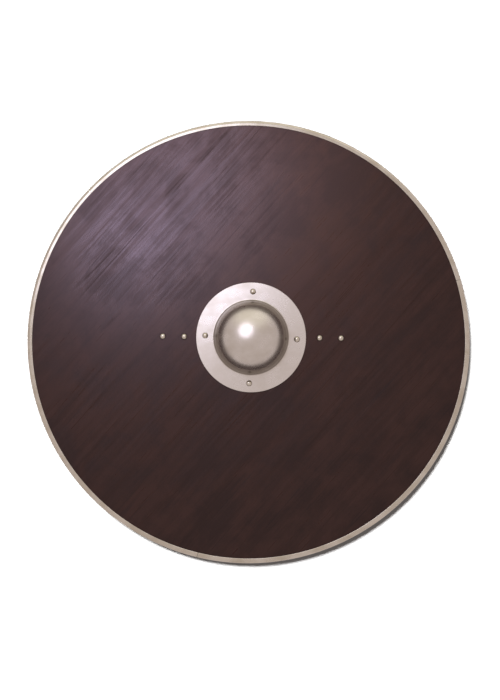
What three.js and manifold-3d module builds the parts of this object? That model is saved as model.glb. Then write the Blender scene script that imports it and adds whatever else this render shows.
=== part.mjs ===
// Wooden round shield, lying on its back with its face up.
//
// Millimetres, +Z up. The origin is under the middle of the board, level with the lowest rivet tails.
// +X runs to the right across the face and along the grip bar, and +Y runs to the top of the face.

import * as THREE from "three";
import { mergeVertices } from "three/addons/utils/BufferGeometryUtils.js";
import Module from "manifold-3d";

// Whole shield
const SHIELD_DIAMETER = 750;
const TOUCH_GAP = 0.3;

// Board: one flat wooden disc with a hand hole behind the boss
const BOARD_THICKNESS = 10;
const BOARD_EDGE_INSET = 6.3;
const OPEN_BACK_RADIUS = 355;
const HAND_HOLE_RADIUS = 60;

// Rim: sheet-steel channel, half round outside, with a flat leg on each face of the board
const RIM_WALL = 1.4;
const RIM_LEG = 2.2;
const RIM_JOINT_ANGLES = [16.5, 136.5, 256.5];
const RIM_JOINT_GAP = 0.6;

// Boss: raised sheet-steel dome with a flat flange, set a little high and right of the middle
const BOSS_MIDDLE = new THREE.Vector2(4.2, 7.9);
const BOSS_TURN = -2.4;
const BOSS_WALL = 1.6;
const BOSS_FLANGE_RADIUS = 93;
const DOME_RADIUS = 62;
const DOME_FILLET = 3;
const BOSS_RIVET_PITCH_RADIUS = 77.6;
const BOSS_RIVET_ANGLES = { top: 90, right: 0, bottom: 270, left: 180 };

// Grip: wooden bar across the hand hole, thicker and rounder where the hand closes on it
const GRIP_MIDDLE = new THREE.Vector2(5.6, 8.2);
const GRIP_TURN = -0.6;
const GRIP_LENGTH = 344;
const GRIP_THICKNESS = 12;
const GRIP_HALF_WIDTH = 17;
const GRIP_CORNER = 3;
const GRIP_END_ROUND = 20;
const GRIP_END_SHARE = 0.4;
const HAND_THICKNESS = 25;
const HAND_HALF_WIDTH = 14;
const HAND_CORNER = 9;
const HAND_HALF_LENGTH = 36;
const HAND_RAMP = 19;
const GRIP_RIVET_PLACES = {
  left_outer: -150.8,
  left_inner: -114.6,
  right_inner: 114.6,
  right_outer: 150.8,
};

// Rivets: round heads on the face, tails hammered over a rove (washer) on the back
const SHANK_RADIUS = 2.5;
const HEAD_RADIUS = 5;
const HEAD_HEIGHT = 3.4;
const TAIL_RADIUS = 4;
const TAIL_HEIGHT = 1.8;
const ROVE_RADIUS = 7;
const ROVE_THICKNESS = 1.2;

// Faces round each circle
const BOARD_SIDES = 84;
const BOSS_SIDES = 48;
const RIVET_SIDES = 12;

// Faces along each bend
const RIM_OUTER_STEPS = 6;
const RIM_INNER_STEPS = 4;
const DOME_STEPS = 10;
const FILLET_STEPS = 2;
const HEAD_STEPS = 3;
const TAIL_STEPS = 2;
const GRIP_CORNER_STEPS = 2;
const GRIP_RAMP_STEPS = 6;
const GRIP_END_STEPS = 5;
const SECTOR_STEPS = 24;

// Levels above the origin
const GRIP_BACK = TAIL_HEIGHT + ROVE_THICKNESS + 2 * TOUCH_GAP;
const GRIP_FRONT = GRIP_BACK + GRIP_THICKNESS;
const BOARD_BACK = GRIP_FRONT + TOUCH_GAP;
const BOARD_FRONT = BOARD_BACK + BOARD_THICKNESS;
const FLANGE_BACK = BOARD_FRONT + TOUCH_GAP;
const FLANGE_FRONT = FLANGE_BACK + BOSS_WALL;

// Finishes
const STAINED_BOARD = new THREE.MeshStandardMaterial({ color: 0x44302e, roughness: 0.5, metalness: 0 });
const PLAIN_WOOD = new THREE.MeshStandardMaterial({ color: 0x8a6440, roughness: 0.6, metalness: 0 });
const BOSS_STEEL = new THREE.MeshStandardMaterial({ color: 0xb9b1a8, roughness: 0.35, metalness: 1 });
const RIM_STEEL = new THREE.MeshStandardMaterial({ color: 0xb4aaa0, roughness: 0.35, metalness: 1 });
const RIVET_STEEL = new THREE.MeshStandardMaterial({ color: 0xaaa49b, roughness: 0.4, metalness: 1 });

const wasm = await Module();
wasm.setup();

// Points along an arc, both ends included.
function arc(centreX, centreY, radius, fromDegrees, toDegrees, steps) {
  const points = [];
  for (let step = 0; step <= steps; step += 1) {
    const angle = THREE.MathUtils.degToRad(fromDegrees + ((toDegrees - fromDegrees) * step) / steps);
    points.push(new THREE.Vector2(centreX + radius * Math.cos(angle), centreY + radius * Math.sin(angle)));
  }
  return points;
}

// Arc of a low dome in a profile: from its edge up to the axis, or from its edge down if height is negative.
function domeProfile(edgeRadius, edgeLevel, height, steps) {
  const rise = Math.abs(height);
  const ballRadius = (edgeRadius ** 2 + rise ** 2) / (2 * rise);
  const edgeAngle = THREE.MathUtils.radToDeg(Math.asin((ballRadius - rise) / ballRadius));
  return arc(0, edgeLevel - Math.sign(height) * (ballRadius - rise), ballRadius,
    Math.sign(height) * edgeAngle, Math.sign(height) * 90, steps);
}

// Solid of revolution about +Z from a profile of (radius, level) points.
function turned(profile, sides) {
  const geometry = new THREE.LatheGeometry(profile, sides);
  geometry.rotateX(Math.PI / 2);
  return geometry;
}

// A geometry as a solid that can be joined or cut.
function toSolid(geometry) {
  const bare = geometry.clone();
  bare.deleteAttribute("normal");
  bare.deleteAttribute("uv");
  const merged = mergeVertices(bare, 1e-4);
  return new wasm.Manifold(new wasm.Mesh({
    numProp: 3,
    vertProperties: new Float32Array(merged.attributes.position.array),
    triVerts: new Uint32Array(merged.index.array),
  }));
}

// A joined or cut solid as a geometry again.
function toGeometry(solid) {
  const mesh = solid.getMesh();
  const geometry = new THREE.BufferGeometry();
  geometry.setAttribute("position", new THREE.BufferAttribute(mesh.vertProperties, 3));
  geometry.setIndex(new THREE.BufferAttribute(mesh.triVerts, 1));
  geometry.computeVertexNormals();
  return geometry;
}

function namedMesh(name, geometry, material) {
  const mesh = new THREE.Mesh(geometry, material);
  mesh.name = name;
  return mesh;
}

// Where a point of the boss or the grip lies on the board.
function onBoard(point, middle, turnDegrees) {
  return point.clone().rotateAround(new THREE.Vector2(), THREE.MathUtils.degToRad(turnDegrees)).add(middle);
}

// Where a point of the board lies on the boss or the grip.
function offBoard(point, middle, turnDegrees) {
  return point.clone().sub(middle).rotateAround(new THREE.Vector2(), THREE.MathUtils.degToRad(-turnDegrees));
}

function bossRivetPoint(name) {
  const angle = THREE.MathUtils.degToRad(BOSS_RIVET_ANGLES[name]);
  return new THREE.Vector2(Math.cos(angle), Math.sin(angle)).multiplyScalar(BOSS_RIVET_PITCH_RADIUS);
}

function gripRivetPoint(name) {
  return new THREE.Vector2(GRIP_RIVET_PLACES[name], 0);
}

// A cutter for a round hole through a piece that stands on level 0.
function makeHole(point, radius, thickness, sides) {
  const cutter = new THREE.CylinderGeometry(radius, radius, 3 * thickness, sides);
  cutter.rotateX(Math.PI / 2);
  cutter.translate(point.x, point.y, thickness / 2);
  return toSolid(cutter);
}

function makeRivetHole(point, thickness) {
  return makeHole(point, SHANK_RADIUS + TOUCH_GAP, thickness, RIVET_SIDES);
}

// The side rivets of the boss go on through the grip bar.
function passesThroughGrip(bossRivetName) {
  return bossRivetName === "left" || bossRivetName === "right";
}

// The back face has a ring of vertices just inside the rim, so that its faces inside the ring lie clear.
function makeBoard() {
  const boardRadius = SHIELD_DIAMETER / 2 - BOARD_EDGE_INSET;
  const profile = [
    new THREE.Vector2(0, 0),
    new THREE.Vector2(OPEN_BACK_RADIUS, 0),
    new THREE.Vector2(boardRadius, 0),
    new THREE.Vector2(boardRadius, BOARD_THICKNESS),
    new THREE.Vector2(0, BOARD_THICKNESS),
  ];
  let solid = toSolid(turned(profile, BOARD_SIDES));
  solid = solid.subtract(makeHole(BOSS_MIDDLE, HAND_HOLE_RADIUS, BOARD_THICKNESS, BOSS_SIDES));
  const rivetPoints = [
    ...Object.keys(BOSS_RIVET_ANGLES).map((name) => onBoard(bossRivetPoint(name), BOSS_MIDDLE, BOSS_TURN)),
    ...Object.keys(GRIP_RIVET_PLACES).map((name) => onBoard(gripRivetPoint(name), GRIP_MIDDLE, GRIP_TURN)),
  ];
  for (const point of rivetPoints) {
    solid = solid.subtract(makeRivetHole(point, BOARD_THICKNESS));
  }
  const board = namedMesh("board", toGeometry(solid), STAINED_BOARD);
  board.position.z = BOARD_BACK;
  return board;
}

// Sector of a flat disc between two angles, level with the rim but wider and thicker.
function makeSector(fromDegrees, toDegrees) {
  const reach = arc(0, 0, SHIELD_DIAMETER, fromDegrees, toDegrees, SECTOR_STEPS);
  const outline = new THREE.Shape([new THREE.Vector2(), ...reach]);
  const geometry = new THREE.ExtrudeGeometry(outline, { depth: 4 * BOARD_THICKNESS, bevelEnabled: false });
  geometry.translate(0, 0, -2 * BOARD_THICKNESS);
  return geometry;
}

function makeRimStrips() {
  const inside = BOARD_THICKNESS / 2 + TOUCH_GAP;
  const outside = inside + RIM_WALL;
  const roundMiddle = SHIELD_DIAMETER / 2 - outside;
  const legEnd = roundMiddle - RIM_LEG;
  const section = [
    new THREE.Vector2(legEnd, -outside),
    ...arc(roundMiddle, 0, outside, -90, 90, RIM_OUTER_STEPS),
    new THREE.Vector2(legEnd, outside),
    new THREE.Vector2(legEnd, inside),
    ...arc(roundMiddle, 0, inside, 90, -90, RIM_INNER_STEPS),
    new THREE.Vector2(legEnd, -inside),
    new THREE.Vector2(legEnd, -outside),
  ];
  const ring = toSolid(turned(section, BOARD_SIDES));
  const halfJoint = THREE.MathUtils.radToDeg(RIM_JOINT_GAP / SHIELD_DIAMETER);
  return RIM_JOINT_ANGLES.map((start, index) => {
    const end = RIM_JOINT_ANGLES[index + 1] ?? RIM_JOINT_ANGLES[0] + 360;
    const sector = makeSector(start + halfJoint, end - halfJoint);
    const strip = namedMesh(`rim_strip_${index + 1}`, toGeometry(ring.intersect(toSolid(sector))), RIM_STEEL);
    strip.position.z = BOARD_BACK + BOARD_THICKNESS / 2;
    return strip;
  });
}

// The dome is hollow and open at the back, with the same wall as the flange.
function makeBoss() {
  const domeLevel = BOSS_WALL + DOME_FILLET;
  const filletRadius = DOME_RADIUS + DOME_FILLET;
  const profile = [
    ...arc(0, domeLevel, DOME_RADIUS - BOSS_WALL, 90, 0, DOME_STEPS),
    ...arc(filletRadius, domeLevel, DOME_FILLET + BOSS_WALL, 180, 270, FILLET_STEPS).slice(1),
    new THREE.Vector2(BOSS_FLANGE_RADIUS, 0),
    new THREE.Vector2(BOSS_FLANGE_RADIUS, BOSS_WALL),
    ...arc(filletRadius, domeLevel, DOME_FILLET, 270, 180, FILLET_STEPS),
    ...arc(0, domeLevel, DOME_RADIUS, 0, 90, DOME_STEPS).slice(1),
  ];
  let solid = toSolid(turned(profile, BOSS_SIDES));
  for (const name of Object.keys(BOSS_RIVET_ANGLES)) {
    solid = solid.subtract(makeRivetHole(bossRivetPoint(name), BOSS_WALL));
  }
  const boss = namedMesh("boss", toGeometry(solid), BOSS_STEEL);
  boss.position.z = FLANGE_BACK;
  return boss;
}

// One rivet and its rove, between the surface under the rove and the surface under the head.
function makeRivet(name, point, backLevel, frontLevel) {
  const headLevel = frontLevel + TOUCH_GAP;
  const roveLevel = backLevel - TOUCH_GAP - ROVE_THICKNESS;
  const tailLevel = roveLevel - TOUCH_GAP;
  const tail = domeProfile(TAIL_RADIUS, tailLevel, -TAIL_HEIGHT, TAIL_STEPS).reverse();
  const head = domeProfile(HEAD_RADIUS, headLevel, HEAD_HEIGHT, HEAD_STEPS);
  const shank = [new THREE.Vector2(SHANK_RADIUS, tailLevel), new THREE.Vector2(SHANK_RADIUS, headLevel)];
  const rivet = namedMesh(name, turned([...tail, ...shank, ...head], RIVET_SIDES), RIVET_STEEL);
  const roveHole = SHANK_RADIUS + TOUCH_GAP;
  const roveProfile = [
    new THREE.Vector2(roveHole, roveLevel),
    new THREE.Vector2(ROVE_RADIUS, roveLevel),
    new THREE.Vector2(ROVE_RADIUS, roveLevel + ROVE_THICKNESS),
    new THREE.Vector2(roveHole, roveLevel + ROVE_THICKNESS),
    new THREE.Vector2(roveHole, roveLevel),
  ];
  const rove = namedMesh(name.replace("rivet", "rove"), turned(roveProfile, RIVET_SIDES), RIVET_STEEL);
  rivet.position.set(point.x, point.y, 0);
  rove.position.set(point.x, point.y, 0);
  return [rivet, rove];
}

// Stations along the bar from its middle to its end, closer together where its outline bends.
function gripHalfStations() {
  const endStart = GRIP_LENGTH / 2 - GRIP_END_ROUND;
  const stations = [0, HAND_HALF_LENGTH / 2];
  for (let step = 0; step <= GRIP_RAMP_STEPS; step += 1) {
    stations.push(HAND_HALF_LENGTH + (HAND_RAMP * step) / GRIP_RAMP_STEPS);
  }
  stations.push((HAND_HALF_LENGTH + HAND_RAMP + endStart) / 2);
  for (let step = 0; step <= GRIP_END_STEPS; step += 1) {
    stations.push(endStart + GRIP_END_ROUND * Math.sin((Math.PI / 2) * (step / GRIP_END_STEPS)));
  }
  return stations;
}

// Half width, thickness and corner radius of the bar at a distance from its middle.
function gripSection(distance) {
  const away = THREE.MathUtils.smoothstep(distance, HAND_HALF_LENGTH, HAND_HALF_LENGTH + HAND_RAMP);
  const intoEnd = Math.max(0, (distance - GRIP_LENGTH / 2 + GRIP_END_ROUND) / GRIP_END_ROUND);
  const endShare = GRIP_END_SHARE + (1 - GRIP_END_SHARE) * Math.sqrt(Math.max(0, 1 - intoEnd ** 2));
  return {
    halfWidth: THREE.MathUtils.lerp(HAND_HALF_WIDTH, GRIP_HALF_WIDTH, away) * endShare,
    thickness: THREE.MathUtils.lerp(HAND_THICKNESS, GRIP_THICKNESS, away),
    corner: THREE.MathUtils.lerp(HAND_CORNER, GRIP_CORNER, away),
  };
}

// The bar starts as an extruded square with round corners, one step for each station. Each point is then
// moved to its place on the round-cornered section of its station. The back of the bar stays flat.
function makeGrip() {
  const half = gripHalfStations();
  const stations = [...half.slice(1).reverse().map((distance) => -distance), ...half];
  const coreHalf = 0.5;
  const cornerRadius = 0.5;
  const outline = new THREE.Shape([
    ...arc(coreHalf, coreHalf, cornerRadius, 0, 90, GRIP_CORNER_STEPS),
    ...arc(-coreHalf, coreHalf, cornerRadius, 90, 180, GRIP_CORNER_STEPS),
    ...arc(-coreHalf, -coreHalf, cornerRadius, 180, 270, GRIP_CORNER_STEPS),
    ...arc(coreHalf, -coreHalf, cornerRadius, 270, 360, GRIP_CORNER_STEPS),
  ]);
  const steps = stations.length - 1;
  const geometry = new THREE.ExtrudeGeometry(outline, { depth: steps, steps, bevelEnabled: false });
  const place = geometry.attributes.position;
  for (let index = 0; index < place.count; index += 1) {
    const across = place.getX(index);
    const up = place.getY(index);
    const along = stations[Math.round(place.getZ(index))];
    const { halfWidth, thickness, corner } = gripSection(Math.abs(along));
    const cornerAcross = (Math.abs(across) - coreHalf) / cornerRadius;
    const cornerUp = (Math.abs(up) - coreHalf) / cornerRadius;
    place.setXYZ(index,
      along,
      Math.sign(across) * (halfWidth - corner * (1 - cornerAcross)),
      thickness / 2 + Math.sign(up) * (thickness / 2 - corner * (1 - cornerUp)));
  }
  let solid = toSolid(geometry);
  const rivetPoints = Object.keys(GRIP_RIVET_PLACES).map(gripRivetPoint);
  for (const name of Object.keys(BOSS_RIVET_ANGLES).filter(passesThroughGrip)) {
    rivetPoints.push(offBoard(onBoard(bossRivetPoint(name), BOSS_MIDDLE, BOSS_TURN), GRIP_MIDDLE, GRIP_TURN));
  }
  for (const point of rivetPoints) {
    solid = solid.subtract(makeRivetHole(point, GRIP_THICKNESS));
  }
  const grip = namedMesh("grip", toGeometry(solid), PLAIN_WOOD);
  grip.position.z = GRIP_BACK;
  return grip;
}

function makeBossGroup() {
  const group = new THREE.Group();
  group.position.set(BOSS_MIDDLE.x, BOSS_MIDDLE.y, 0);
  group.rotation.z = THREE.MathUtils.degToRad(BOSS_TURN);
  group.add(makeBoss());
  for (const name of Object.keys(BOSS_RIVET_ANGLES)) {
    const backLevel = passesThroughGrip(name) ? GRIP_BACK : BOARD_BACK;
    group.add(...makeRivet(`boss_rivet_${name}`, bossRivetPoint(name), backLevel, FLANGE_FRONT));
  }
  return group;
}

function makeGripGroup() {
  const group = new THREE.Group();
  group.position.set(GRIP_MIDDLE.x, GRIP_MIDDLE.y, 0);
  group.rotation.z = THREE.MathUtils.degToRad(GRIP_TURN);
  group.add(makeGrip());
  for (const name of Object.keys(GRIP_RIVET_PLACES)) {
    group.add(...makeRivet(`grip_rivet_${name}`, gripRivetPoint(name), GRIP_BACK, BOARD_FRONT));
  }
  return group;
}

const shield = new THREE.Group();
shield.add(makeBoard(), ...makeRimStrips(), makeBossGroup(), makeGripGroup());

export default shield;
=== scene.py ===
"""Round wooden shield with a steel boss, rim and rivets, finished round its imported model.

Laid out as a Blender add-on. The sizes and colours that a user would change are scene properties, each
piece or group of like pieces has its own operator, and a panel in the sidebar lists them.
All lengths are metres, in the model's own frame: +Z out of the face of the shield, +X to the right
along the grip bar and +Y to the top of the face. The shield lies on its back on the floor at level 0.
"""

import math

import bmesh
import bpy
from bpy.props import FloatProperty, FloatVectorProperty, PointerProperty
from mathutils import Matrix, Vector, noise


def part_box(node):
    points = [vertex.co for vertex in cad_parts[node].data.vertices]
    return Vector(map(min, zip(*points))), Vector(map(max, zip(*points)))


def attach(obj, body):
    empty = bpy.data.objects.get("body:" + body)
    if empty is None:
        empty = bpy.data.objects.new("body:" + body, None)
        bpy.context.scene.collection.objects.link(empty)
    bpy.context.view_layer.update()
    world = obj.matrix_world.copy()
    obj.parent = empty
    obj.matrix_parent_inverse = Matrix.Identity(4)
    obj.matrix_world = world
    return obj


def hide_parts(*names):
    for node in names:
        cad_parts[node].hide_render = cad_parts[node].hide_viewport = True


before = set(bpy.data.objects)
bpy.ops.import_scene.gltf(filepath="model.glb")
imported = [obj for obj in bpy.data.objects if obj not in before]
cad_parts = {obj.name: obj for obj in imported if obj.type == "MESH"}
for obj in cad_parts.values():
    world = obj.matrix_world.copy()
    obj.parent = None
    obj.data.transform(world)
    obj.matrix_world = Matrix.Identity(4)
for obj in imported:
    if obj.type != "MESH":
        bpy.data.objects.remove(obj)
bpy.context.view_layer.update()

bl_info = {
    "name": "Round Shield",
    "version": (1, 0, 0),
    "blender": (4, 5, 0),
    "location": "View3D > Sidebar > Round Shield",
    "description": "Builds a round wooden shield with a steel boss, rim and rivets",
    "category": "Object",
}

BODY = "root"
MM = 0.001
POLE_RADIUS = 0.001 * MM

BOSS_RIVETS = ("top", "right", "bottom", "left")
GRIP_RIVETS = ("left_outer", "left_inner", "right_inner", "right_outer")
RIM_STRIPS = ("rim_strip_1", "rim_strip_2", "rim_strip_3")

# Faces round each turned piece and along each bend
BOARD_SIDES = 256
HOLE_SIDES = 96
BOSS_SIDES = 192
RIVET_SIDES = 32
DOME_STEPS = 40
FILLET_STEPS = 8
EDGE_STEPS = 4
RIM_BEND_STEPS = 24
RIM_STRIP_STEPS = 120
GRIP_CORNER_STEPS = 6
GRIP_STATIONS = 96
SMOOTH_ANGLE = math.radians(35)

# A face that leans less than half a degree is level
LEVEL_FACE = math.cos(math.radians(0.5))

# Radius of the holes that the rivets pass through, in millimetres
RIVET_HOLE_MM = 2.8

# Clearance of the rivets in their roves, and of the grip bar under the board
ROVE_CLEARANCE = 0.3 * MM
GRIP_CLEARANCE = 0.3 * MM

# Rounding of a rove's edges, and how much less than half its wall rounds the edge of a rim strip's leg
ROVE_EDGE = 0.25 * MM
LEG_EDGE_SPARE = 0.05 * MM

# Radius of a rivet's tail, and the two radii between which its head darkens as painted shade towards its
# edge, as shares of the head
TAIL_SHARE = 0.8
HEAD_SHADE_FROM, HEAD_SHADE_TO = 0.75, 0.98

# The painted shade ring round the foot of the dome, over its steep flank and the fillet: where it starts,
# is full, starts to fade and ends, from the dome's own radius, and how strong it is
FOOT_SHADE_RING = (-8 * MM, -4 * MM, 1.0 * MM, 2.5 * MM)
FOOT_SHADE_SHARE = 0.8

# Each dull tack spot: its full radius, its outer radius and how dull it is
TACK_SPOT = (0.8 * MM, 2.6 * MM)
TACK_SPOT_SHARE = 0.6

# Size of the unevenness raised into the dome and hammered into the rivets
RAISING_SIZE = 28 * MM
HAMMER_SIZE = 4 * MM

# How fast the rim's unevenness changes round the shield
RIPPLE_RATE = 9.0

# Width of the grip bar at its very ends, as a share of the arm's width
GRIP_END_SHARE = 0.4

# The main soft light and the sun that whitens the floor
LIGHT_TARGET = (-0.05, 0.08, 0.0)
KEY_PLACE = (-0.21, 0.28, 0.69)
KEY_SIZE = 0.58
WASH_DIRECTION = (-0.27, 0.42, 1.0)
WASH_ANGLE = math.radians(12)
WHITE = (1.0, 1.0, 1.0)

# The camera looks straight down, a little off the middle of the board. Its lens is in millimetres
CAMERA_OFFSET = (0.0024, -0.0134)
CAMERA_LENS = 72.8
FACE_LEVEL = 0.021

# Half the width of the paper floor, from its middle to each edge
FLOOR_HALF_WIDTH = 6.0

# Name of the point layer that says where the steel is darkened: painted shade in corners, and on the boss
# the tack weld spots
SHADE_AND_TACK_LAYER = "corner"

# The room's brighter wall: which way it lies and how far it spreads to each side
WALL_DIRECTION = (0.0, 1.0, 0.3)
WALL_SPREAD = math.radians(60)


def linear(hex_colour):
    """An sRGB hex colour as linear red, green, blue and alpha."""
    channels = [int(hex_colour[start:start + 2], 16) / 255 for start in (1, 3, 5)]
    values = [c / 12.92 if c <= 0.04045 else ((c + 0.055) / 1.055) ** 2.4 for c in channels]
    return (*values, 1.0)


def colour_property(name, description, hex_colour):
    """A colour that the user can change, with its default as an sRGB hex value."""
    return FloatVectorProperty(
        name=name, description=description, default=linear(hex_colour),
        size=4, min=0.0, max=1.0, subtype="COLOR",
    )


def length_property(name, description, millimetres):
    """A length that the user can change, with its default in millimetres."""
    return FloatProperty(
        name=name, description=description, default=millimetres * MM,
        min=0.0, precision=5, subtype="DISTANCE", unit="LENGTH",
    )


def strength_property(name, description, strength):
    """A brightness without a unit that the user can change."""
    return FloatProperty(name=name, description=description, default=strength, min=0.0)


def power_property(name, description, watts):
    """The power of a light in watts that the user can change."""
    return FloatProperty(name=name, description=description, default=watts, min=0.0, unit="POWER")


# ---------------------------------------------------------------------------------------------------
# Settings
# ---------------------------------------------------------------------------------------------------


class BoardSettings(bpy.types.PropertyGroup):
    hole_radius: length_property("Hand hole radius", "Radius of the hole behind the boss", 60)
    edge_round: length_property("Edge round", "Rounding sanded onto the edges of the board", 0.8)
    rivet_hole: length_property("Rivet hole radius", "Radius of each rivet hole", RIVET_HOLE_MM)
    ply: length_property("Ply thickness", "Thickness of one ply of the board", 1.43)
    grain_angle: FloatProperty(
        name="Grain angle", description="Direction of the face grain, from the grip bar",
        default=math.radians(48), subtype="ANGLE", unit="ROTATION",
    )
    deep_stain: colour_property("Deep stain", "Stain where the wood drank most", "#2C1B18")
    thin_stain: colour_property("Thin stain", "Stain where it was wiped thin", "#3A2521")
    pore_stain: colour_property("Pore stain", "Stain in the open pores along the grain", "#170E0D")
    ply_pale: colour_property("Pale ply", "Plies cut along the grain, seen in the hand hole", "#9C7B56")
    ply_dark: colour_property("Dark ply", "Plies cut across the grain, seen in the hand hole", "#5E422C")


class BossSettings(bpy.types.PropertyGroup):
    wall: length_property("Wall", "Thickness of the steel sheet", 1.6)
    fillet: length_property("Fillet", "Radius between the dome and the flange", 3)
    edge_round: length_property("Edge round", "Rounding filed onto the flange's edge", 0.5)
    tack_inset: length_property("Tack inset", "From the foot of the dome to its four small tack welds", 3.5)
    raising: length_property("Raising marks", "Depth of the unevenness left by raising the dome", 0.03)
    steel: colour_property("Steel", "Ground steel", "#DFD7D1")
    haze: colour_property("Haze", "Steel greyed a little by handling", "#D3CAC1")
    # Painted shade: darker steel in the ring round the foot of the dome; it also colours the tack weld
    # spots
    shade_and_tack_steel: colour_property("Corner steel", "Steel that the grinding didn't reach", "#857C72")


class RimSettings(bpy.types.PropertyGroup):
    wall: length_property("Wall", "Thickness of the steel strip", 1.4)
    leg: length_property("Leg", "Width of the strip's flat leg on each face", 4.0)
    reach: length_property("Reach", "How far the bend stands out beyond the legs", 4.9)
    joint_gap: length_property("Joint gap", "Gap where two strips meet", 0.6)
    ripple: length_property("Ripple", "Unevenness of the folded strip", 0.15)
    first_joint: FloatProperty(
        name="First joint", description="Angle of the first joint, from the right end of the grip bar",
        default=math.radians(16.5), subtype="ANGLE", unit="ROTATION",
    )
    steel: colour_property("Steel", "Rolled steel strip", "#DAD2C6")
    haze: colour_property("Haze", "Rolled steel yellowed a little by handling", "#C8BEAE")


class RivetSettings(bpy.types.PropertyGroup):
    shank: length_property("Shank radius", "Radius of each rivet's shank", 2.5)
    head: length_property("Head height", "Height of each round head", 3.4)
    tail: length_property("Tail height", "Height of each hammered tail", 1.8)
    rove: length_property("Rove thickness", "Thickness of the washer under each tail", 1.2)
    dents: length_property("Hammer marks", "Depth of the marks on heads and tails", 0.12)
    steel: colour_property("Rivet steel", "Rivet heads and tails", "#DCD4C8")
    haze: colour_property("Rivet haze", "Rivets yellowed a little by handling", "#CBC1B0")
    # Painted shade: darker steel low on each rivet head
    shade_and_tack_steel: colour_property("Corner steel", "Dull steel low on each head", "#6F665D")
    rove_steel: colour_property("Rove steel", "Stamped washers", "#A09A93")
    rove_haze: colour_property("Rove haze", "Washers dulled by handling", "#7D766E")


class GripSettings(bpy.types.PropertyGroup):
    hand_thickness: length_property("Hand thickness", "Thickness where the hand closes", 25)
    hand_half_width: length_property("Hand half width", "Half the width where the hand closes", 14)
    hand_half_length: length_property("Hand half length", "Half the length of the hand part", 36)
    hand_corner: length_property("Hand corner", "Corner radius where the hand closes", 9)
    ramp: length_property("Ramp", "Length of the slope from the hand part to each arm", 19)
    half_width: length_property("Half width", "Half the width of the arms on the board", 17)
    corner: length_property("Corner", "Corner radius of the arms", 3)
    end_round: length_property("End round", "Length over which each end rounds off", 20)
    wood: colour_property("Wood", "Oiled ash between the growth rings", "#A07B50")
    rings: colour_property("Growth rings", "Oiled ash in the growth rings", "#74522F")


class StageSettings(bpy.types.PropertyGroup):
    floor: colour_property("Floor", "Matt studio paper, whitened by the floor wash", "#7E7E7E")
    room: colour_property("Room", "Light from the room all round", "#FFF3EF")
    room_strength: strength_property("Room strength", "Brightness of the room all round", 0.64)
    wall: colour_property("Wall", "Light from the brighter wall beyond the top of the shield", "#F8FFE3")
    wall_strength: strength_property("Wall strength", "Brightness that the wall adds", 0.37)
    key: colour_property("Key", "Main soft light", "#E6E8FF")
    key_power: power_property("Key power", "Power of the main soft light", 1.6)
    sheen: colour_property("Sheen", "Cool light that the waxed board alone reflects", "#D6CEFF")
    sheen_power: power_property("Sheen power", "Power of each of the two cool lights", 2.0)
    glow: colour_property("Glow", "Warm light that the waxed board alone reflects", "#FFC4AE")
    glow_power: power_property("Glow power", "Power of the warm light", 4.5)
    wash_strength: strength_property("Floor wash", "Brightness of the light that whitens the floor", 19.0)
    camera_distance: length_property("Camera distance", "From the camera to the shield", 2400)


class ShieldSettings(bpy.types.PropertyGroup):
    board: PointerProperty(type=BoardSettings, name="Board", description="The wooden board")
    boss: PointerProperty(type=BossSettings, name="Boss", description="The steel boss")
    rim: PointerProperty(type=RimSettings, name="Rim", description="The steel rim")
    rivets: PointerProperty(type=RivetSettings, name="Rivets", description="Rivets and roves")
    grip: PointerProperty(type=GripSettings, name="Grip", description="The wooden grip bar")
    stage: PointerProperty(type=StageSettings, name="Stage", description="Floor, light and camera")


# ---------------------------------------------------------------------------------------------------
# Where things are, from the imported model
# ---------------------------------------------------------------------------------------------------


def middle_of(node):
    """Middle of a node's box."""
    low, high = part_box(node)
    return (low + high) / 2


def half_width_of(node):
    """Half of a node's box along X."""
    low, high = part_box(node)
    return (high.x - low.x) / 2


def rivet_nodes():
    """Names of all the rivets."""
    return [f"boss_rivet_{name}" for name in BOSS_RIVETS] + [f"grip_rivet_{name}" for name in GRIP_RIVETS]


def grip_turn():
    """Angle of the grip bar from +X, along the line of its own rivets."""
    line = middle_of("grip_rivet_right_outer") - middle_of("grip_rivet_left_outer")
    return math.atan2(line.y, line.x)


# ---------------------------------------------------------------------------------------------------
# Mesh making
# ---------------------------------------------------------------------------------------------------


def arc(across, up, radius, start, end, steps):
    """Points along an arc in a profile, both ends included. Angles are in degrees."""
    angles = [math.radians(start + (end - start) * step / steps) for step in range(steps + 1)]
    return [(across + radius * math.cos(angle), up + radius * math.sin(angle)) for angle in angles]


def smoothstep(value, low, high):
    """0 below low, 1 above high, and a smooth rise between them."""
    share = min(max((value - low) / (high - low), 0.0), 1.0)
    return share * share * (3 - 2 * share)


def skin_rings(bm, rings, closed):
    """Faces between each ring of vertices and the next. Repeated vertices make triangles."""
    following = rings[1:] + rings[:1] if closed else rings[1:]
    for lower, upper in zip(rings, following):
        for index in range(len(lower)):
            after = (index + 1) % len(lower)
            corners = list(dict.fromkeys((lower[index], lower[after], upper[after], upper[index])))
            if len(corners) > 2:
                bm.faces.new(corners)


def turn_profile(name, profile, sides, middle=(0.0, 0.0), closed=False):
    """Piece made by turning a profile of (radius, level) points about an upright axis."""
    bm = bmesh.new()
    rings = []
    for radius, level in profile:
        if radius < POLE_RADIUS:
            rings.append([bm.verts.new((middle[0], middle[1], level))] * sides)
            continue
        angles = [2 * math.pi * side / sides for side in range(sides)]
        rings.append([
            bm.verts.new((middle[0] + radius * math.cos(a), middle[1] + radius * math.sin(a), level))
            for a in angles
        ])
    skin_rings(bm, rings, closed)
    return piece_from(bm, name)


def piece_from(bm, name):
    """A mesh object from a bmesh, with outward faces, smooth except at real edges."""
    bmesh.ops.recalc_face_normals(bm, faces=bm.faces)
    mesh = bpy.data.meshes.new(name)
    bm.to_mesh(mesh)
    bm.free()
    piece = bpy.data.objects.new(name, mesh)
    bpy.context.scene.collection.objects.link(piece)
    smooth_except_edges(piece)
    return piece


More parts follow.
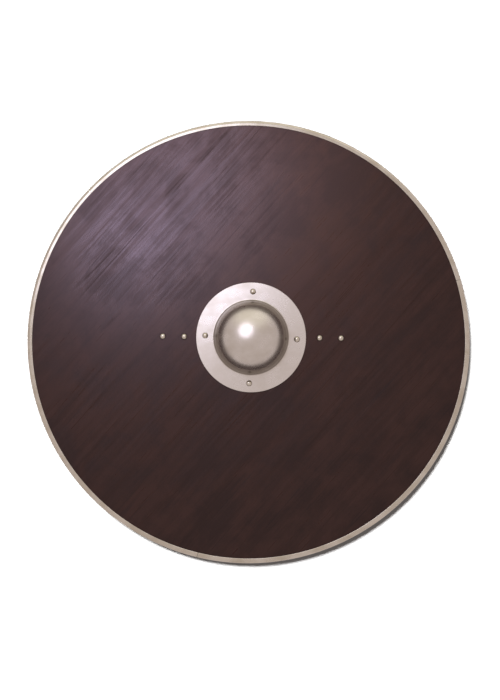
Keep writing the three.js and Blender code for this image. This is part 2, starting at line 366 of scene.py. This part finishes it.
def smooth_except_edges(piece):
    """Smooth shading that stops at real edges, with level faces left truly flat."""
    piece.data.set_sharp_from_angle(angle=SMOOTH_ANGLE)
    for face in piece.data.polygons:
        face.use_smooth = abs(face.normal.z) < LEVEL_FACE


def drill(piece, points, radius, low, high):
    """Cut upright round holes through a piece between two levels."""
    bm = bmesh.new()
    for point in points:
        place = Matrix.Translation((point[0], point[1], (low + high) / 2))
        bmesh.ops.create_cone(
            bm, cap_ends=True, segments=RIVET_SIDES, radius1=radius, radius2=radius,
            depth=high - low, matrix=place,
        )
    cutter = piece_from(bm, "drill")
    cut = piece.modifiers.new("Holes", "BOOLEAN")
    cut.operation = "DIFFERENCE"
    cut.solver = "EXACT"
    cut.object = cutter
    drilled = bpy.data.meshes.new_from_object(piece.evaluated_get(bpy.context.evaluated_depsgraph_get()))
    piece.modifiers.clear()
    blank = piece.data
    piece.data = drilled
    drilled.name = piece.name
    bpy.data.meshes.remove(blank)
    bpy.data.meshes.remove(cutter.data)
    smooth_except_edges(piece)


def dent(piece, centre, depth, size, seed):
    """Move a piece's points in towards a centre, so it looks hammered. Points level with it stay."""
    for vertex in piece.data.vertices:
        offset = vertex.co - centre
        share = smoothstep(abs(offset.z), 0.0, size)
        sample = offset / size + Vector((seed, 0.0, 0.0))
        vertex.co -= offset.normalized() * depth * share * (0.5 + 0.5 * noise.noise(sample))


def store_shade_and_tacks(piece, share_at):
    """Keep, for each point of a piece, how strongly its steel is darkened: painted shade, and any tack weld
    spots.
    """
    shares = [share_at(vertex.co) for vertex in piece.data.vertices]
    layer = piece.data.attributes.new(SHADE_AND_TACK_LAYER, "FLOAT", "POINT")
    layer.data.foreach_set("value", shares)


def dress(piece, material, slot, *nodes):
    """Finish a piece: its material, the body it rides on and the nodes it stands for. The slot is not used.
    """
    piece.data.materials.clear()
    piece.data.materials.append(material)
    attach(piece, BODY)
    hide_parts(*nodes)


# ---------------------------------------------------------------------------------------------------
# Materials
# ---------------------------------------------------------------------------------------------------


def add_node(tree, kind, inputs=None, **settings):
    """A shader node with its settings. Each input is a value, or an output socket to link from.

    Inputs are named or numbered. A map range has its value as 0, the range it comes from as 1 and 2,
    and the range it goes to as 3 and 4. A colour mix has its share as 0 and its colours as 6 and 7.
    """
    node = tree.nodes.new(kind)
    for name, value in settings.items():
        setattr(node, name, value)
    for key, value in (inputs or {}).items():
        if isinstance(value, bpy.types.NodeSocket):
            tree.links.new(value, node.inputs[key])
        else:
            node.inputs[key].default_value = value
    return node


def blank_material(name):
    """A node material with an output and nothing else yet."""
    material = bpy.data.materials.new(name)
    material.use_nodes = True
    material.node_tree.nodes.clear()
    return material


def shade(material, inputs):
    """Close a material with one principled surface."""
    tree = material.node_tree
    surface = add_node(tree, "ShaderNodeBsdfPrincipled", inputs)
    add_node(tree, "ShaderNodeOutputMaterial", {"Surface": surface.outputs["BSDF"]})
    return material


def pattern_place(tree, angle, sizes):
    """Position on the object, turned by an angle on the face and counted in a pattern's real sizes."""
    place = add_node(tree, "ShaderNodeTexCoord").outputs["Object"]
    return add_node(tree, "ShaderNodeMapping", {
        "Vector": place, "Rotation": (0, 0, angle), "Scale": sizes,
    }, vector_type="TEXTURE").outputs[0]


def stained_plywood(settings):
    """Birch plywood, stained dark red-brown, rubbed along the grain and waxed.

    The eye sees a cloudy dark brown with a wide soft sheen, fine streaks in the sheen where the wax
    was rubbed with the grain, and a few long dark pores. The cut edge shows its plies.
    """
    material = blank_material("birch_plywood_stained_and_waxed")
    tree = material.node_tree
    grain = settings.grain_angle

    # Clouds of stain 50 mm across, soft figure along the grain and fine fibres, 3 mm wide to show
    clouds = add_node(tree, "ShaderNodeTexNoise", {
        "Vector": pattern_place(tree, grain, (70 * MM, 50 * MM, 50 * MM)),
        "Scale": 1.0, "Detail": 8.0, "Roughness": 0.66, "Distortion": 0.3,
    }).outputs[0]
    figure = add_node(tree, "ShaderNodeTexNoise", {
        "Vector": pattern_place(tree, grain, (260 * MM, 22 * MM, 22 * MM)),
        "Scale": 1.0, "Detail": 3.0,
    }).outputs[0]
    fibres = add_node(tree, "ShaderNodeTexNoise", {
        "Vector": pattern_place(tree, grain, (60 * MM, 3 * MM, 3 * MM)),
        "Scale": 1.0, "Detail": 2.0, "Roughness": 0.6,
    }).outputs[0]
    cloudy = add_node(tree, "ShaderNodeMath", {0: clouds, 1: 0.65}, operation="MULTIPLY").outputs[0]
    cloudy = add_node(tree, "ShaderNodeMath", {
        0: figure, 1: 0.2, 2: cloudy,
    }, operation="MULTIPLY_ADD").outputs[0]
    tone = add_node(tree, "ShaderNodeMath", {
        0: fibres, 1: 0.15, 2: cloudy,
    }, operation="MULTIPLY_ADD").outputs[0]
    share = add_node(tree, "ShaderNodeMapRange", {0: tone, 1: 0.42, 2: 0.58}).outputs[0]
    stain = add_node(tree, "ShaderNodeMix", {
        0: share, 6: settings.deep_stain, 7: settings.thin_stain,
    }, data_type="RGBA").outputs[2]

    # Long open pores: the lines where a stretched noise passes its middle value, about 1 mm wide
    pores = add_node(tree, "ShaderNodeTexNoise", {
        "Vector": pattern_place(tree, grain, (900 * MM, 20 * MM, 20 * MM)), "Scale": 1.0, "Detail": 0.0,
    }).outputs[0]
    off_line = add_node(tree, "ShaderNodeMath", {0: pores, 1: 0.5}, operation="SUBTRACT").outputs[0]
    off_line = add_node(tree, "ShaderNodeMath", {0: off_line}, operation="ABSOLUTE").outputs[0]
    on_line = add_node(tree, "ShaderNodeMapRange", {
        0: off_line, 1: 0.0, 2: 0.02, 3: 1.0, 4: 0.0,
    }).outputs[0]
    broken = add_node(tree, "ShaderNodeTexNoise", {
        "Vector": pattern_place(tree, grain, (70 * MM, 40 * MM, 40 * MM)), "Scale": 1.0, "Detail": 2.0,
    }).outputs[0]
    kept = add_node(tree, "ShaderNodeMapRange", {0: broken, 1: 0.45, 2: 0.6}).outputs[0]
    pore_share = add_node(tree, "ShaderNodeMath", {0: on_line, 1: kept}, operation="MULTIPLY").outputs[0]
    darker = add_node(tree, "ShaderNodeMath", {0: pore_share, 1: 0.4}, operation="MULTIPLY").outputs[0]
    face = add_node(tree, "ShaderNodeMix", {
        0: darker, 6: stain, 7: settings.pore_stain,
    }, data_type="RGBA").outputs[2]

    # Plies, seen where the surface turns to the side
    place = add_node(tree, "ShaderNodeTexCoord").outputs["Object"]
    level = add_node(tree, "ShaderNodeSeparateXYZ", {0: place}).outputs[2]
    layer = add_node(tree, "ShaderNodeMath", {0: level, 1: settings.ply}, operation="PINGPONG").outputs[0]
    ply_share = add_node(tree, "ShaderNodeMapRange", {
        0: layer, 1: 0.45 * settings.ply, 2: 0.55 * settings.ply,
    }).outputs[0]
    plies = add_node(tree, "ShaderNodeMix", {
        0: ply_share, 6: settings.ply_pale, 7: settings.ply_dark,
    }, data_type="RGBA").outputs[2]
    normal = add_node(tree, "ShaderNodeNewGeometry").outputs["Normal"]
    facing = add_node(tree, "ShaderNodeSeparateXYZ", {0: normal}).outputs[2]
    flatness = add_node(tree, "ShaderNodeMath", {0: facing}, operation="ABSOLUTE").outputs[0]
    face_share = add_node(tree, "ShaderNodeMapRange", {0: flatness, 1: 0.4, 2: 0.7}).outputs[0]
    colour = add_node(tree, "ShaderNodeMix", {
        0: face_share, 6: plies, 7: face,
    }, data_type="RGBA").outputs[2]

    # Wax rubbed along the grain: strokes 4 mm wide, shinier and duller in clouds, dull on the back
    strokes = add_node(tree, "ShaderNodeTexNoise", {
        "Vector": pattern_place(tree, grain, (190 * MM, 4 * MM, 4 * MM)),
        "Scale": 1.0, "Detail": 3.0, "Roughness": 0.62,
    }).outputs[0]
    wiped = add_node(tree, "ShaderNodeMapRange", {
        0: clouds, 1: 0.42, 2: 0.56, 3: 0.41, 4: 0.33,
    }).outputs[0]
    rubbed = add_node(tree, "ShaderNodeMapRange", {
        0: strokes, 1: 0.38, 2: 0.62, 3: 0.06, 4: -0.06,
    }).outputs[0]
    waxed = add_node(tree, "ShaderNodeMath", {0: wiped, 1: rubbed}, operation="ADD").outputs[0]
    back = add_node(tree, "ShaderNodeMapRange", {0: facing, 1: -0.5, 2: 0.5, 3: 0.22, 4: 0.0}).outputs[0]
    roughness = add_node(tree, "ShaderNodeMath", {0: waxed, 1: back}, operation="ADD").outputs[0]
    roughness = add_node(tree, "ShaderNodeMath", {
        0: pore_share, 1: 0.15, 2: roughness,
    }, operation="MULTIPLY_ADD").outputs[0]
    height = add_node(tree, "ShaderNodeMath", {0: fibres, 1: strokes}, operation="ADD").outputs[0]
    return shade(material, {
        "Base Color": colour,
        "Roughness": roughness,
        "IOR": 1.5,
        "Specular IOR Level": 0.2,
        "Normal": add_node(tree, "ShaderNodeBump", {"Height": height, "Distance": 0.02 * MM}).outputs[0],
    })


def worked_steel(name, steel, haze, roughness, depth, shade_and_tack_steel=None):
    """Bare steel with a satin surface: soft reflections, clouds of faint haze and very faint marks.

    Where the piece carries a shade layer, its steel is darkened and roughened there: painted shade in
    corners, and on the boss also tack weld spots.
    """
    material = blank_material(name)
    tree = material.node_tree
    clouds = add_node(tree, "ShaderNodeTexNoise", {
        "Vector": pattern_place(tree, 0.0, (34 * MM, 26 * MM, 26 * MM)),
        "Scale": 1.0, "Detail": 4.0, "Roughness": 0.55,
    }).outputs[0]
    marks = add_node(tree, "ShaderNodeTexNoise", {
        "Vector": pattern_place(tree, 0.0, (3.0 * MM, 1.6 * MM, 1.6 * MM)),
        "Scale": 1.0, "Detail": 3.0, "Roughness": 0.6,
    }).outputs[0]
    share = add_node(tree, "ShaderNodeMapRange", {0: clouds, 1: 0.4, 2: 0.65}).outputs[0]
    colour = add_node(tree, "ShaderNodeMix", {0: share, 6: steel, 7: haze}, data_type="RGBA").outputs[2]
    dull = add_node(tree, "ShaderNodeMath", {0: marks, 1: 0.03}, operation="MULTIPLY").outputs[0]
    dull = add_node(tree, "ShaderNodeMath", {
        0: clouds, 1: 0.97, 2: dull,
    }, operation="MULTIPLY_ADD").outputs[0]
    satin = add_node(tree, "ShaderNodeMapRange", {
        0: dull, 1: 0.35, 2: 0.65, 3: roughness - 0.03, 4: roughness + 0.04,
    }).outputs[0]
    if shade_and_tack_steel:
        # The layer darkens the steel as painted shade in corners, and on the boss also at the tack weld
        # spots; it makes them rougher too
        corner = add_node(tree, "ShaderNodeAttribute", attribute_name=SHADE_AND_TACK_LAYER).outputs["Fac"]
        colour = add_node(tree, "ShaderNodeMix", {
            0: corner, 6: colour, 7: shade_and_tack_steel,
        }, data_type="RGBA").outputs[2]
        satin = add_node(tree, "ShaderNodeMath", {
            0: corner, 1: 0.12, 2: satin,
        }, operation="MULTIPLY_ADD").outputs[0]
    return shade(material, {
        "Base Color": colour,
        "Metallic": 1.0,
        "Roughness": satin,
        "Normal": add_node(tree, "ShaderNodeBump", {"Height": marks, "Distance": depth}).outputs[0],
    })


def oiled_ash(settings):
    """Ash, shaved to shape and oiled: pale brown with darker growth rings along the bar."""
    material = blank_material("ash_shaved_and_oiled")
    tree = material.node_tree
    bar = grip_turn()
    rings = add_node(tree, "ShaderNodeTexNoise", {
        "Vector": pattern_place(tree, bar, (260 * MM, 5 * MM, 5 * MM)), "Scale": 1.0, "Detail": 2.0,
    }).outputs[0]
    fibres = add_node(tree, "ShaderNodeTexNoise", {
        "Vector": pattern_place(tree, bar, (30 * MM, 0.9 * MM, 0.9 * MM)),
        "Scale": 1.0, "Detail": 3.0, "Roughness": 0.6,
    }).outputs[0]
    tone = add_node(tree, "ShaderNodeMath", {0: fibres, 1: 0.3}, operation="MULTIPLY").outputs[0]
    tone = add_node(tree, "ShaderNodeMath", {
        0: rings, 1: 0.7, 2: tone,
    }, operation="MULTIPLY_ADD").outputs[0]
    share = add_node(tree, "ShaderNodeMapRange", {0: tone, 1: 0.4, 2: 0.62}).outputs[0]
    return shade(material, {
        "Base Color": add_node(tree, "ShaderNodeMix", {
            0: share, 6: settings.wood, 7: settings.rings,
        }, data_type="RGBA").outputs[2],
        "Roughness": add_node(tree, "ShaderNodeMapRange", {
            0: fibres, 1: 0.3, 2: 0.7, 3: 0.46, 4: 0.6,
        }).outputs[0],
        "IOR": 1.5,
        "Normal": add_node(tree, "ShaderNodeBump", {"Height": fibres, "Distance": 0.08 * MM}).outputs[0],
    })


def studio_paper(settings):
    """Matt studio paper: even, with no shine. The floor wash is what whitens it."""
    material = blank_material("studio_paper_matt")
    return shade(material, {"Base Color": settings.floor, "Roughness": 0.95})


# ---------------------------------------------------------------------------------------------------
# Pieces
# ---------------------------------------------------------------------------------------------------


def make_board(settings):
    """The board: a flat outline with its holes, given thickness and sanded edges."""
    low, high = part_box("board")
    thickness = high.z - low.z
    hand_hole = middle_of("boss")
    circles = [
        (Vector(), half_width_of("board"), BOARD_SIDES),
        (hand_hole, settings.hole_radius, HOLE_SIDES),
    ]
    circles += [(middle_of(node), settings.rivet_hole, RIVET_SIDES) for node in rivet_nodes()]
    outline = bpy.data.curves.new("board", "CURVE")
    outline.dimensions = "2D"
    outline.fill_mode = "BOTH"
    outline.extrude = thickness / 2 - settings.edge_round
    outline.bevel_depth = settings.edge_round
    outline.bevel_resolution = 2
    outline.offset = -settings.edge_round
    for centre, radius, sides in circles:
        spline = outline.splines.new("POLY")
        spline.points.add(sides - 1)
        spline.use_cyclic_u = True
        for point, (across, up) in zip(spline.points, arc(centre.x, centre.y, radius, 0, 360, sides)):
            point.co = (across, up, 0.0, 1.0)
    pattern = bpy.data.objects.new("board_outline", outline)
    bpy.context.scene.collection.objects.link(pattern)
    mesh = bpy.data.meshes.new_from_object(pattern.evaluated_get(bpy.context.evaluated_depsgraph_get()))
    bpy.data.curves.remove(outline)
    mesh.transform(Matrix.Translation((0.0, 0.0, (low.z + high.z) / 2)))
    bm = bmesh.new()
    bm.from_mesh(mesh)
    bpy.data.meshes.remove(mesh)
    bmesh.ops.remove_doubles(bm, verts=bm.verts, dist=0.01 * MM)
    dress(piece_from(bm, "round_board"), stained_plywood(settings), "stained_board", "board")


def make_boss(settings):
    """The boss: flange and hollow dome as one raised sheet, open at the back."""
    low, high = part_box("boss")
    middle = middle_of("boss")
    flange = half_width_of("boss")
    wall = settings.wall
    fillet = settings.fillet
    edge = settings.edge_round
    dome_level = low.z + wall + fillet
    dome = high.z - dome_level
    foot = dome + fillet
    profile = [
        *arc(0, dome_level, dome - wall, 90, 0, DOME_STEPS),
        *arc(foot, dome_level, fillet + wall, 180, 270, FILLET_STEPS)[1:],
        *arc(flange - edge, low.z + edge, edge, 270, 360, EDGE_STEPS),
        *arc(flange - edge, low.z + wall - edge, edge, 0, 90, EDGE_STEPS),
        *arc(foot, dome_level, fillet, 270, 180, FILLET_STEPS),
        *arc(0, dome_level, dome, 0, 90, DOME_STEPS)[1:],
    ]
    boss = turn_profile("raised_boss", profile, BOSS_SIDES, middle)
    dent(boss, Vector((middle.x, middle.y, dome_level)), settings.raising, RAISING_SIZE, 3.0)
    rivets = [middle_of(f"boss_rivet_{name}") for name in BOSS_RIVETS]
    drill(boss, rivets, RIVET_HOLE_MM * MM, low.z - wall, low.z + 2 * wall)

    tacks = []
    for rivet in rivets:
        outward = (rivet - middle).to_2d().normalized()
        tacks.append(middle.to_2d() + outward * (dome - settings.tack_inset))

    # Painted shade in a ring round the foot of the dome, plus the darker tack weld spots
    def shade_and_tack_share(point):
        across = (point.to_2d() - middle.to_2d()).length
        start, full, fade, end = (dome + offset for offset in FOOT_SHADE_RING)
        ring = smoothstep(across, start, full)
        ring *= 1 - smoothstep(across, fade, end)
        nearest = min((point.to_2d() - tack).length for tack in tacks)
        return FOOT_SHADE_SHARE * ring + TACK_SPOT_SHARE * (1 - smoothstep(nearest, *TACK_SPOT))

    store_shade_and_tacks(boss, shade_and_tack_share)
    steel = worked_steel(
        "mild_steel_raised_and_satin_ground", settings.steel, settings.haze,
        roughness=0.28, depth=0.0003 * MM, shade_and_tack_steel=settings.shade_and_tack_steel)
    dress(boss, steel, "boss_steel", "boss")


def bend(across, half_height, reach, start, end):
    """Points along the flattened bend of the rim, which stands out less than it is high."""
    half_circle = arc(0, 0, 1, start, end, RIM_BEND_STEPS)
    return [(across + out * reach, up * half_height) for out, up in half_circle]


def rim_section(settings, outer, inside, outside):
    """Closed section of the rim strip, from the half heights of its inside and its outside."""
    bend_start = outer - settings.reach
    leg_end = bend_start - settings.leg
    wall = settings.wall
    tip = wall / 2 - LEG_EDGE_SPARE
    return [
        *bend(bend_start, outside, settings.reach, -90, 90),
        *arc(leg_end + tip, outside - tip, tip, 90, 180, EDGE_STEPS),
        *arc(leg_end + tip, inside + tip, tip, 180, 270, EDGE_STEPS),
        *bend(bend_start, inside, settings.reach - wall, 90, -90),
        *arc(leg_end + tip, -inside - tip, tip, 90, 180, EDGE_STEPS),
        *arc(leg_end + tip, -outside + tip, tip, 180, 270, EDGE_STEPS),
    ]


def make_rim(settings):
    """The rim: three folded strips, swept round the board's edge and butted end to end."""
    lows, highs = zip(*(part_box(node) for node in RIM_STRIPS))
    outer = max(high.x for high in highs)
    low_level = min(low.z for low in lows)
    high_level = max(high.z for high in highs)
    outside = (high_level - low_level) / 2
    section = rim_section(settings, outer, outside - settings.wall, outside)
    middle_level = (high_level + low_level) / 2
    half_gap = settings.joint_gap / 2 / outer
    span = 2 * math.pi / len(RIM_STRIPS)
    steel = worked_steel(
        "mild_steel_rolled_strip", settings.steel, settings.haze,
        roughness=0.26, depth=0.006 * MM)
    for index, node in enumerate(RIM_STRIPS):
        start = settings.first_joint + index * span + half_gap
        sweep = span - 2 * half_gap
        bm = bmesh.new()
        rings = []
        for step in range(RIM_STRIP_STEPS + 1):
            angle = start + sweep * step / RIM_STRIP_STEPS
            direction = Vector((math.cos(angle), math.sin(angle), 0.0))
            wander = 0.5 + 0.5 * noise.noise(direction * RIPPLE_RATE + Vector((0.0, 0.0, index * 5.0)))
            inset = settings.ripple * wander
            rings.append([
                bm.verts.new(direction * (across - inset) + Vector((0, 0, middle_level + up)))
                for across, up in section
            ])
        skin_rings(bm, rings, closed=False)
        bm.faces.new(rings[0])
        bm.faces.new(list(reversed(rings[-1])))
        strip = piece_from(bm, f"rim_binding_{index + 1}")
        dress(strip, steel, "rim_steel", node)


def dome_cap(radius, level, height, steps):
    """Profile of a low dome from its edge to the axis. A negative height makes it hang down."""
    rise = abs(height)
    ball = (radius ** 2 + rise ** 2) / (2 * rise)
    sign = math.copysign(1, height)
    edge = math.degrees(math.asin((ball - rise) / ball))
    return arc(0, level - sign * (ball - rise), ball, sign * edge, sign * 90, steps)


def make_rivets(settings):
    """The rivets: a round head on the face, a shank, and a tail hammered over its rove."""
    steel = worked_steel(
        "mild_steel_rivet_hammered", settings.steel, settings.haze,
        roughness=0.2, depth=0.004 * MM, shade_and_tack_steel=settings.shade_and_tack_steel)
    for seed, node in enumerate(rivet_nodes()):
        low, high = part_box(node)
        middle = middle_of(node)
        head_radius = half_width_of(node)
        tail_radius = TAIL_SHARE * head_radius
        head_level = high.z - settings.head
        tail_level = low.z + settings.tail
        tail = dome_cap(tail_radius, tail_level, -settings.tail, 6)
        head = dome_cap(head_radius, head_level, settings.head, 10)
        profile = [
            *reversed(tail), (settings.shank, tail_level), (settings.shank, head_level), *head,
        ]
        rivet = turn_profile(node.replace("rivet", "round_rivet"), profile, RIVET_SIDES, middle)
        dent(rivet, Vector((middle.x, middle.y, head_level)), settings.dents, HAMMER_SIZE, 7.0 * seed)
        axis = middle.to_2d()
        # Painted shade: each head darkens towards its edge, where it meets the piece below
        store_shade_and_tacks(rivet, lambda point: smoothstep(
            (point.to_2d() - axis).length, HEAD_SHADE_FROM * head_radius, HEAD_SHADE_TO * head_radius))
        dress(rivet, steel, "rivet_steel", node)


def make_roves(settings):
    """The roves: flat stamped washers under the rivet tails."""
    steel = worked_steel(
        "mild_steel_stamped_washer", settings.rove_steel, settings.rove_haze,
        roughness=0.45, depth=0.01 * MM)
    for node in rivet_nodes():
        washer = node.replace("rivet", "rove")
        low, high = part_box(washer)
        radius = half_width_of(washer)
        hole = settings.shank + ROVE_CLEARANCE
        profile = [
            (hole, low.z),
            *arc(radius - ROVE_EDGE, low.z + ROVE_EDGE, ROVE_EDGE, 270, 360, EDGE_STEPS),
            *arc(radius - ROVE_EDGE, high.z - ROVE_EDGE, ROVE_EDGE, 0, 90, EDGE_STEPS),
            (hole, high.z),
        ]
        name = washer.replace("rove", "washer")
        rove = turn_profile(name, profile, RIVET_SIDES, middle_of(washer), closed=True)
        dress(rove, steel, "rove_steel", washer)


def grip_section(settings, along, half_length, thickness):
    """Points round the bar at a distance along it from its middle, as (across, up)."""
    distance = abs(along)
    away = smoothstep(distance, settings.hand_half_length, settings.hand_half_length + settings.ramp)
    into_end = max(0.0, (distance - half_length + settings.end_round) / settings.end_round)
    end_share = GRIP_END_SHARE + (1 - GRIP_END_SHARE) * math.sqrt(max(0.0, 1 - into_end ** 2))
    half_width = settings.hand_half_width + (settings.half_width - settings.hand_half_width) * away
    half_width *= end_share
    deep = settings.hand_thickness + (thickness - settings.hand_thickness) * away
    corner = settings.hand_corner + (settings.corner - settings.hand_corner) * away
    across = half_width - corner
    return [
        *arc(across, deep - corner, corner, 0, 90, GRIP_CORNER_STEPS),
        *arc(-across, deep - corner, corner, 90, 180, GRIP_CORNER_STEPS),
        *arc(-across, corner, corner, 180, 270, GRIP_CORNER_STEPS),
        *arc(across, corner, corner, 270, 360, GRIP_CORNER_STEPS),
    ]


def make_grip(settings):
    """The grip: a wooden bar with flat arms on the board and a rounder part for the hand."""
    low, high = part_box("grip")
    middle = (middle_of("grip_rivet_left_outer") + middle_of("grip_rivet_right_outer")) / 2
    half_length = (high.x - low.x) / 2
    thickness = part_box("board")[0].z - low.z - GRIP_CLEARANCE
    place = Matrix.Translation((middle.x, middle.y, low.z)) @ Matrix.Rotation(grip_turn(), 4, "Z")
    bm = bmesh.new()
    rings = []
    for station in range(GRIP_STATIONS + 1):
        share = 2 * station / GRIP_STATIONS - 1
        along = half_length * math.sin(math.pi / 2 * share) * 0.5 + half_length * share * 0.5
        section = grip_section(settings, along, half_length, thickness)
        rings.append([bm.verts.new(place @ Vector((along, across, up))) for across, up in section])
    skin_rings(bm, rings, closed=False)
    bm.faces.new(rings[0])
    bm.faces.new(list(reversed(rings[-1])))
    grip = piece_from(bm, "ash_grip_bar")
    rivets = [middle_of(f"grip_rivet_{name}") for name in GRIP_RIVETS]
    rivets += [middle_of(f"boss_rivet_{name}") for name in ("left", "right")]
    drill(grip, rivets, RIVET_HOLE_MM * MM, low.z - thickness, low.z + 2 * thickness)
    dress(grip, oiled_ash(settings), "grip_wood", "grip")


# ---------------------------------------------------------------------------------------------------
# Stage
# ---------------------------------------------------------------------------------------------------


def aim(thing, place, target):
    """Put a light or camera at a place and point it at a target."""
    thing.location = place
    thing.rotation_euler = (Vector(target) - Vector(place)).to_track_quat("-Z", "Y").to_euler()


def add_light(name, kind, place, target, colour, **settings):
    """A light that the camera itself doesn't see."""
    light = bpy.data.lights.new(name, kind)
    light.color = colour[:3]
    if kind == "AREA":
        light.shape = "DISK"
    for setting, value in settings.items():
        setattr(light, setting, value)
    lamp = bpy.data.objects.new(name, light)
    bpy.context.scene.collection.objects.link(lamp)
    lamp.visible_camera = False
    aim(lamp, place, target)
    return lamp


def make_room(settings):
    """A plain room round the stage, with a brighter wall beyond the top of the shield."""
    world = bpy.data.worlds.new("soft_room")
    world.use_nodes = True
    tree = world.node_tree
    tree.nodes.clear()
    direction = add_node(tree, "ShaderNodeTexCoord").outputs["Generated"]
    aligned = add_node(tree, "ShaderNodeVectorMath", {
        0: direction, 1: Vector(WALL_DIRECTION).normalized(),
    }, operation="DOT_PRODUCT").outputs["Value"]
    on_wall = add_node(tree, "ShaderNodeMapRange", {
        0: aligned, 1: math.cos(WALL_SPREAD), 2: 1.0, 3: 0.0, 4: settings.wall_strength,
    }, interpolation_type="SMOOTHSTEP").outputs[0]
    room = add_node(tree, "ShaderNodeBackground", {
        "Color": settings.room, "Strength": settings.room_strength,
    }).outputs[0]
    wall = add_node(tree, "ShaderNodeBackground", {"Color": settings.wall, "Strength": on_wall}).outputs[0]
    light = add_node(tree, "ShaderNodeAddShader", {0: room, 1: wall}).outputs[0]
    add_node(tree, "ShaderNodeOutputWorld", {"Surface": light})
    bpy.context.scene.world = world


def light_only(lamp, piece):
    """Make a light fall on one piece alone."""
    chosen = bpy.data.collections.new(f"lit_by_{lamp.name}")
    chosen.objects.link(piece)
    lamp.light_linking.receiver_collection = chosen


def make_stage(settings):
    """A pale paper floor, soft light from the upper left, and a camera straight above."""
    bm = bmesh.new()
    bmesh.ops.create_grid(bm, x_segments=1, y_segments=1, size=FLOOR_HALF_WIDTH)
    floor = piece_from(bm, "paper_floor")
    floor.data.materials.append(studio_paper(settings))
    floor.visible_glossy = False

    make_room(settings)
    add_light("key_light", "AREA", KEY_PLACE, LIGHT_TARGET, settings.key, size=KEY_SIZE,
              energy=settings.key_power)

    # The waxed board answers these three lights alone, as a soft sheen drawn out along its grain
    board = bpy.data.objects["round_board"]
    for name, place, colour, size, power in (
        ("sheen_low", (-0.26, 0.22, 0.69), settings.sheen, 0.2, settings.sheen_power),
        ("sheen_high", (-0.12, 0.38, 0.69), settings.sheen, 0.3, settings.sheen_power),
        ("warm_glow", (-0.12, 0.42, 0.69), settings.glow, 0.8, settings.glow_power),
    ):
        lamp = add_light(name, "AREA", place, LIGHT_TARGET, colour, size=size, energy=power)
        lamp.visible_diffuse = False
        light_only(lamp, board)

    wash = add_light("floor_wash", "SUN", WASH_DIRECTION, (0.0, 0.0, 0.0), WHITE,
                     energy=settings.wash_strength, angle=WASH_ANGLE)
    light_only(wash, floor)

    lens = bpy.data.cameras.new("camera")
    lens.lens = CAMERA_LENS
    camera = bpy.data.objects.new("camera", lens)
    bpy.context.scene.collection.objects.link(camera)
    camera.location = (*CAMERA_OFFSET, settings.camera_distance + FACE_LEVEL)
    bpy.context.scene.camera = camera
    bpy.context.scene.view_settings.view_transform = "Standard"


# ---------------------------------------------------------------------------------------------------
# Operators and panel
# ---------------------------------------------------------------------------------------------------


class SHIELD_OT_board(bpy.types.Operator):
    """Make the stained plywood board"""

    bl_idname = "shield.board"
    bl_label = "Board"

    def execute(self, context):
        make_board(context.scene.round_shield.board)
        return {"FINISHED"}


class SHIELD_OT_boss(bpy.types.Operator):
    """Make the raised steel boss"""

    bl_idname = "shield.boss"
    bl_label = "Boss"

    def execute(self, context):
        make_boss(context.scene.round_shield.boss)
        return {"FINISHED"}


class SHIELD_OT_rim(bpy.types.Operator):
    """Make the strips of the steel rim"""

    bl_idname = "shield.rim"
    bl_label = "Rim strips"

    def execute(self, context):
        make_rim(context.scene.round_shield.rim)
        return {"FINISHED"}


class SHIELD_OT_grip(bpy.types.Operator):
    """Make the ash grip bar"""

    bl_idname = "shield.grip"
    bl_label = "Grip bar"

    def execute(self, context):
        make_grip(context.scene.round_shield.grip)
        return {"FINISHED"}


class SHIELD_OT_rivets(bpy.types.Operator):
    """Make the rivets of the boss and the grip"""

    bl_idname = "shield.rivets"
    bl_label = "Rivets"

    def execute(self, context):
        make_rivets(context.scene.round_shield.rivets)
        return {"FINISHED"}


class SHIELD_OT_roves(bpy.types.Operator):
    """Make the roves under the rivet tails"""

    bl_idname = "shield.roves"
    bl_label = "Roves"

    def execute(self, context):
        make_roves(context.scene.round_shield.rivets)
        return {"FINISHED"}


class SHIELD_OT_stage(bpy.types.Operator):
    """Make the floor, the light and the camera"""

    bl_idname = "shield.stage"
    bl_label = "Stage"

    def execute(self, context):
        make_stage(context.scene.round_shield.stage)
        return {"FINISHED"}


class SHIELD_PT_sidebar(bpy.types.Panel):
    """Lists the pieces of the shield with their settings"""

    bl_label = "Round Shield"
    bl_idname = "SHIELD_PT_sidebar"
    bl_space_type = "VIEW_3D"
    bl_region_type = "UI"
    bl_category = "Round Shield"

    def draw(self, context):
        shield = context.scene.round_shield
        for operator, settings in PANEL_ROWS:
            box = self.layout.box()
            box.operator(operator.bl_idname)
            group = getattr(shield, settings)
            for name in group.__annotations__:
                box.prop(group, name)


OPERATORS = (
    SHIELD_OT_board,
    SHIELD_OT_boss,
    SHIELD_OT_rim,
    SHIELD_OT_grip,
    SHIELD_OT_rivets,
    SHIELD_OT_roves,
    SHIELD_OT_stage,
)
PANEL_ROWS = tuple(zip(OPERATORS, ("board", "boss", "rim", "grip", "rivets", "rivets", "stage")))
CLASSES = (
    BoardSettings,
    BossSettings,
    RimSettings,
    RivetSettings,
    GripSettings,
    StageSettings,
    ShieldSettings,
    *OPERATORS,
    SHIELD_PT_sidebar,
)


def register():
    for cls in CLASSES:
        bpy.utils.register_class(cls)
    bpy.types.Scene.round_shield = PointerProperty(type=ShieldSettings)


def unregister():
    del bpy.types.Scene.round_shield
    for cls in reversed(CLASSES):
        bpy.utils.unregister_class(cls)


def main():
    register()
    bpy.ops.shield.board()
    bpy.ops.shield.boss()
    bpy.ops.shield.rim()
    bpy.ops.shield.grip()
    bpy.ops.shield.rivets()
    bpy.ops.shield.roves()
    bpy.ops.shield.stage()


if __name__ == "__main__":
    main()
